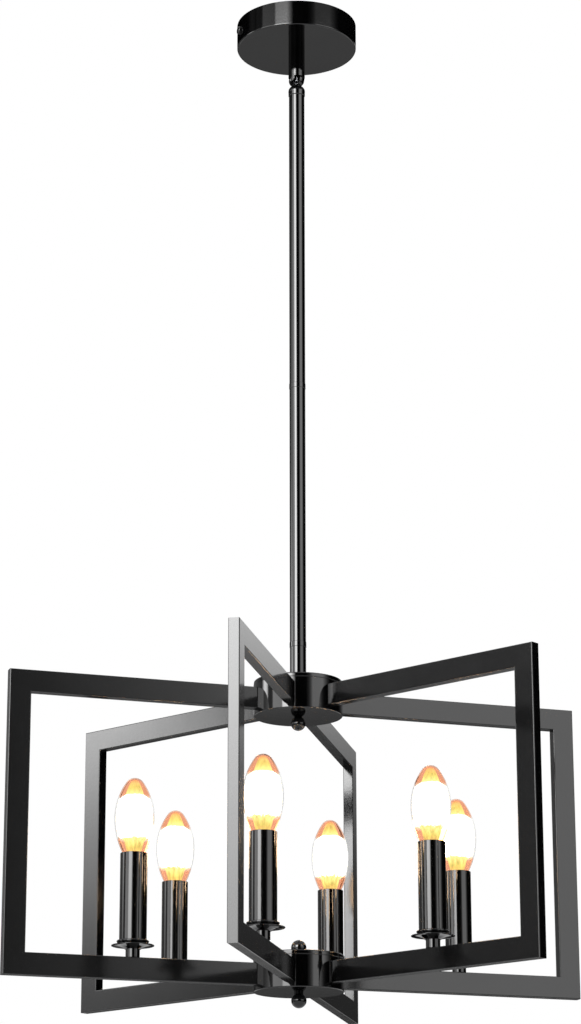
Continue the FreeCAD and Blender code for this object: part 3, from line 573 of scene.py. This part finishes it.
def bulb_glow(arm):
    """The lit space inside the envelope, which the photo shows as one bright form."""
    wide = [(radius, height) for radius, height in bulb_outline(GLOW_INSET) if height > GLOW_FOOT]
    inner = [(radius * glow_width(height), height) for radius, height in wide]
    outline = [(0.0, GLOW_FOOT), (inner[0][0], GLOW_FOOT)] + inner
    lathe("glow_" + arm, outline, candle_centre(arm), GLOW, "bulb_" + arm, SMALL_SEGMENTS)


def thread(angle, height):
    """The rolled thread of the screw shell: nothing on its crests and less than nothing between them."""
    if not SHELL_LOW + THREAD_MARGIN < height < COLLAR_LOW - THREAD_MARGIN:
        return 0.0
    return THREAD_WAVE * (math.cos(2.0 * math.pi * height / THREAD_PITCH - angle) - 1.0)


def bulb_base(arm):
    """The plated screw shell with its rolled thread, under a collar, over the insulator and contact."""
    row = (COLLAR_LOW - SHELL_LOW) / THREAD_ROWS
    outline = raised(CONTACT_SECTION, BASE_LOW)
    outline += [(SHELL_RADIUS, SHELL_LOW + row * step) for step in range(THREAD_ROWS + 1)]
    outline += raised(COLLAR_SECTION, COLLAR_LOW)
    piece = lathe(
        "base_" + arm, outline, candle_centre(arm), PLATED, "bulb_" + arm,
        SMALL_SEGMENTS, thread)
    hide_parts("bulb_base_" + arm)


# --- Drip pans and hubs -------------------------------------------------------------------------------

def drip_pan(arm):
    """The pan under a candle sleeve: a thin lens-shaped disc with a beaded cup on top that holds the
    sleeve."""
    outline = raised(PAN_UNDERSIDE, PAN_FOOT)
    outline += arc(
        (PAN_RADIUS, PAN_EDGE_HEIGHT), PAN_EDGE_CURVE, -math.pi / 2.0, math.pi / 2.0, EDGE_ARC)
    outline += raised(PAN_TOP, PAN_RIM)
    outline += arc(
        (CUP_BEAD_RADIUS, CUP_BEAD_HEIGHT), CUP_BEAD_CURVE, -0.35 * math.pi, 0.9 * math.pi, 2 * EDGE_ARC)
    outline += [(CUP_RADIUS, CUP_BEAD_HEIGHT), (CUP_RADIUS, CUP_FLOOR), (0.0, CUP_FLOOR)]
    piece = lathe("bobeche_" + arm, outline, candle_centre(arm), GLOSS, "hanging_fixture")
    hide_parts("bobeches")


def hub_ball():
    """The ball under the top hub, seated against it, with its stud up into the hub."""
    middle = BALL_LOW + BALL_RADIUS
    seat = math.asin((TOP_HUB_BOTTOM - middle) / BALL_RADIUS)
    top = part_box("top_hub_finial")[1][2]
    outline = [(0.0, BALL_LOW)] + arc((0.0, middle), BALL_RADIUS, -math.pi / 2.0, seat, BALL_ARC)
    outline += [(STUD_RADIUS, STUD_FOOT), (STUD_RADIUS, top), (0.0, top)]
    piece = lathe(
        "hub_ball", outline, (0.0, 0.0), GLOSS, "hanging_fixture", SMALL_SEGMENTS)
    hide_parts("top_hub_finial")


def seam_bead(name, height):
    """The fine rolled bead where a hub's lid meets its drum."""
    middle = HUB_RADIUS - BEAD_SINK
    outline = [(middle, height - BEAD_CURVE)]
    outline += arc((middle, height), BEAD_CURVE, -math.pi / 2.0, math.pi / 2.0, EDGE_ARC)
    lathe(name, outline, (0.0, 0.0), GLOSS, "hanging_fixture", FINE_SEGMENTS)


# --- Camera -------------------------------------------------------------------------------------------

def camera_axes():
    """The camera's right, up and back directions."""
    yaw, pitch, roll = CAMERA_YAW, CAMERA_PITCH, CAMERA_ROLL
    forward = Vector((math.sin(yaw) * math.cos(pitch), math.cos(yaw) * math.cos(pitch), math.sin(pitch)))
    right = Vector((math.cos(yaw), -math.sin(yaw), 0.0))
    up = right.cross(forward)
    across = right * math.cos(roll) + up * math.sin(roll)
    rise = up * math.cos(roll) - right * math.sin(roll)
    turn = Matrix.Rotation(math.radians(CAMERA_TURN_DEGREES), 3, "Z")
    return turn @ across, turn @ rise, turn @ (forward * -1.0)


def look():
    """The photograph's camera, from its solved place and angles."""
    data = bpy.data.cameras.new("camera")
    data.sensor_fit = "VERTICAL"
    data.sensor_height = SENSOR_HEIGHT
    data.lens = FOCAL_PIXELS / PICTURE_HEIGHT * SENSOR_HEIGHT
    data.clip_end = CLIP_END
    camera = bpy.data.objects.new("camera", data)
    facing = Matrix(camera_axes()).transposed().to_4x4()
    camera.matrix_world = Matrix.Translation(CAMERA_PLACE) @ facing
    bpy.context.scene.collection.objects.link(camera)
    bpy.context.scene.camera = camera


# --- Room and lights ----------------------------------------------------------------------------------

def background(nodes, colour, strength):
    """One background shader."""
    node = nodes.new("ShaderNodeBackground")
    node.inputs["Color"].default_value = (*colour, 1.0)
    node.inputs["Strength"].default_value = strength
    return node


def world():
    """White wherever the camera, gloss or glass looks past the object, and an even soft light on it."""
    made = bpy.data.worlds.new("studio")
    made.use_nodes = True
    nodes = made.node_tree.nodes
    links = made.node_tree.links
    nodes.clear()
    path = nodes.new("ShaderNodeLightPath")
    seen = combine(nodes, links, "MAXIMUM", path.outputs["Is Camera Ray"], path.outputs["Is Glossy Ray"])
    either = combine(nodes, links, "MAXIMUM", seen, path.outputs["Is Transmission Ray"])
    soft = background(nodes, (0.95, 0.97, 1.0), 0.75)
    white = background(nodes, (1.0, 1.0, 1.0), 1.0)
    blend = nodes.new("ShaderNodeMixShader")
    links.new(either, blend.inputs["Fac"])
    links.new(soft.outputs[0], blend.inputs[1])
    links.new(white.outputs[0], blend.inputs[2])
    output = nodes.new("ShaderNodeOutputWorld")
    links.new(blend.outputs[0], output.inputs["Surface"])
    bpy.context.scene.world = made


def floor_distance(nodes, links):
    """How far a point of the floor is from its middle."""
    place = nodes.new("ShaderNodeTexCoord")
    flat = nodes.new("ShaderNodeVectorMath")
    flat.operation = "MULTIPLY"
    flat.inputs[1].default_value = (1.0, 1.0, 0.0)
    links.new(place.outputs["Object"], flat.inputs[0])
    length = nodes.new("ShaderNodeVectorMath")
    length.operation = "LENGTH"
    links.new(flat.outputs["Vector"], length.inputs[0])
    return length.outputs["Value"]


def floor_material():
    """Pale and matt near the object, and as white as the background far from it."""
    material, nodes, links = new_material("floor_pale")
    diffuse = nodes.new("ShaderNodeBsdfDiffuse")
    diffuse.inputs["Color"].default_value = (FLOOR_GREY, FLOOR_GREY, FLOOR_GREY, 1.0)
    white = nodes.new("ShaderNodeEmission")
    white.inputs["Strength"].default_value = 1.0
    fade = nodes.new("ShaderNodeMapRange")
    fade.interpolation_type = "SMOOTHSTEP"
    fade.inputs["From Min"].default_value = FADE_START
    fade.inputs["From Max"].default_value = FADE_END
    fade.inputs["To Min"].default_value = FADE_LOW
    links.new(floor_distance(nodes, links), fade.inputs["Value"])
    blend = nodes.new("ShaderNodeMixShader")
    links.new(fade.outputs["Result"], blend.inputs["Fac"])
    links.new(diffuse.outputs[0], blend.inputs[1])
    links.new(white.outputs[0], blend.inputs[2])
    show(nodes, links, blend)
    return material


def floor():
    """A wide plain floor under the object."""
    shape = bmesh.new()
    place = Matrix.Translation((0.0, 0.0, FLOOR_Z))
    bmesh.ops.create_circle(shape, cap_ends=True, segments=SEGMENTS, radius=FLOOR_RADIUS, matrix=place)
    piece = new_object("floor", shape, floor_material())


def stops_along(pairs, scale=1.0):
    """(place, value) pairs as the grey stops of a ramp, with the places moved to 0..1."""
    start, end = pairs[0][0], pairs[-1][0]
    return [((place - start) / (end - start), (value / scale,) * 3) for place, value in pairs]


def card_material(name, across, up, half):
    """A card whose brightness follows its height and fades at its sides."""
    material, nodes, links = new_material(name)
    axes = own_axes(nodes, links)
    turn = combine(nodes, links, "ARCTAN2", axes["Y"], axes["X"])
    sideways = spread(nodes, links, turn, 0.0, 1.0, -half, half)
    upwards = spread(nodes, links, axes["Z"], 0.0, 1.0, up[0][0], up[-1][0])
    peak = max(strength for _, strength in up)
    shares = ramp(nodes, links, sideways, stops_along(across))
    levels = ramp(nodes, links, upwards, stops_along(up, peak))
    shine = nodes.new("ShaderNodeEmission")
    shine.inputs["Strength"].default_value = peak
    links.new(combine(nodes, links, "MULTIPLY", shares, levels), shine.inputs["Color"])
    show(nodes, links, shine)
    material.cycles.emission_sampling = "NONE"
    return material


def card(name, across, up, radius=CARD_RADIUS):
    """A curved softbox that stands round the object and shows in its gloss alone. across holds (degrees,
    share) pairs and up holds (height, strength) pairs."""
    left, right = across[0][0], across[-1][0]
    half = math.radians(right - left) / 2.0
    steps = max(CARD_LEAST_STEPS, int(math.degrees(half) / CARD_HALF_STEP_DEGREES))
    shape = bmesh.new()
    columns = []
    for step in range(steps + 1):
        angle = half * (2.0 * step / steps - 1.0)
        x, y = radius * math.cos(angle), radius * math.sin(angle)
        columns.append((shape.verts.new((x, y, up[0][0])), shape.verts.new((x, y, up[-1][0]))))
    for before, after in zip(columns, columns[1:]):
        shape.faces.new((before[0], after[0], after[1], before[1]))
    piece = new_object(name, shape, card_material(name, across, up, half))
    piece.rotation_euler.z = math.radians(CARD_TOWARDS_CAMERA + (left + right) / 2.0)
    piece.visible_camera = False
    piece.visible_diffuse = False
    piece.visible_transmission = False
    piece.visible_volume_scatter = False
    piece.visible_shadow = False


def soft_light(name, place, size, power):
    """A plain area light that shapes the matt surfaces and the shadow on the floor."""
    data = bpy.data.lights.new(name, "AREA")
    data.shape = "DISK"
    data.size = size
    data.energy = power
    light = bpy.data.objects.new(name, data)
    light.location = place
    light.rotation_euler = (LIGHT_TARGET - Vector(place)).to_track_quat("-Z", "Y").to_euler()
    light.visible_glossy = False
    light.visible_transmission = False
    light.visible_camera = False
    bpy.context.scene.collection.objects.link(light)


def left_cards():
    """The softboxes on the camera's left: the key light, which draws the bright line down every round
    part, a wide one beside it, a dim gap, and a narrow one for the faces that turn far to the left."""
    card("key_softbox",
         [(-42.0, 0.5), (-39.0, 1.0), (-18.0, 1.0), (-12.0, 0.35), (-7.0, 0.0)],
         [(CARD_FOOT, 0.3), (-1.25, 0.3), (-1.0, 2.0), (-0.75, 6.0), (-0.25, 12.0), (0.25, 20.0),
          (1.49, 18.0), (1.55, 3.4), (CARD_TOP, 3.2)])
    card("left_softbox",
         [(-72.0, 0.15), (-69.5, 0.2), (-67.5, 1.0), (-42.0, 1.0)],
         [(CARD_FOOT, 0.2), (-1.25, 0.2), (-1.0, 1.5), (-0.75, 3.2), (0.0, 3.8), (1.48, 4.3),
          (1.55, 0.8), (CARD_TOP, 0.6)])
    card("left_gap",
         [(-84.0, 1.0), (-72.0, 1.0)],
         [(CARD_FOOT, 0.2), (-0.5, 0.34), (0.2, 0.42), (0.5, 2.0), (1.0, 2.6), (1.3, 0.5),
          (1.5, 0.12), (CARD_TOP, 0.12)])
    card("left_edge",
         [(-106.0, 0.05), (-101.0, 0.5), (-96.0, 1.0), (-89.0, 0.85), (-84.0, 0.3)],
         [(CARD_FOOT, 1.0), (-0.9, 0.8), (-0.55, 1.3), (-0.4, 2.5), (-0.2, 5.6), (0.0, 11.5),
          (0.2, 10.0), (0.6, 2.4), (1.2, 0.9), (1.5, 0.1), (CARD_TOP, 0.1)])
    card("left_back",
         [(-178.0, 0.4), (-150.0, 1.0), (-106.0, 1.0)],
         [(-1.2, 0.05), (-0.5, 0.3), (0.0, 0.3), (1.0, 0.2), (1.5, 0.05)])


def right_cards():
    """The softboxes on the camera's right: a wide one that fades at both sides, and a faint one behind."""
    card("right_softbox",
         [(22.0, 0.03), (26.0, 0.07), (30.0, 0.2), (34.0, 0.45), (38.0, 1.0), (66.0, 1.0),
          (74.0, 0.45), (82.0, 0.1), (90.0, 0.0)],
         [(CARD_FOOT, 0.2), (-1.25, 0.2), (-1.0, 1.5), (-0.75, 2.5), (0.1, 2.6), (0.5, 3.5),
          (1.48, 3.6), (1.55, 0.5), (CARD_TOP, 0.45)])
    card("back_right",
         [(140.0, 0.0), (147.0, 1.0), (164.0, 1.0), (172.0, 0.2)],
         [(-1.1, 0.02), (-0.45, 0.05), (-0.3, 0.08), (-0.12, 0.25), (0.0, 0.5), (0.1, 0.85),
          (0.25, 1.3), (1.0, 0.6), (1.5, 0.1)])


def outer_cards():
    """A nearly dark card all round, so that the gloss is black where no softbox stands, and a dim band
    low behind the object for the gloss of its undersides."""
    card("flag_round",
         [(-180.0, 0.0), (180.0, 0.0)],
         [(CARD_FOOT, 0.1), (FLAG_TOP, 0.1)],
         radius=FLAG_RADIUS)
    card("low_back",
         [(90.0, 1.0), (270.0, 1.0)],
         [(CARD_FOOT, 1.0), (-1.75, 0.36), (-1.6, 0.35), (-1.5, 0.12), (-1.4, 0.06), (-1.25, 0.02)],
         radius=OUTER_CARD_RADIUS)


# --- The scene ----------------------------------------------------------------------------------------

for node_name, node in NODES.items():
    node.data.materials.clear()
    node.data.materials.append(node_finish(node_name))

hub_ball()
seam_bead("top_hub_bead", TOP_SEAM)
seam_bead("bottom_hub_bead", BOTTOM_SEAM)
for arm_name in ARMS:
    bulb_glass(arm_name)
    drip_pan(arm_name)
    bulb_glow(arm_name)
    bulb_base(arm_name)

look()
world()
floor()
soft_light("soft_left", place=(-2.6, -1.2, 0.9), size=1.6, power=26.0)
soft_light("soft_right", place=(2.2, -2.0, 0.6), size=1.6, power=12.0)
left_cards()
right_cards()
outer_cards()

bpy.context.scene.view_settings.view_transform = "Standard"
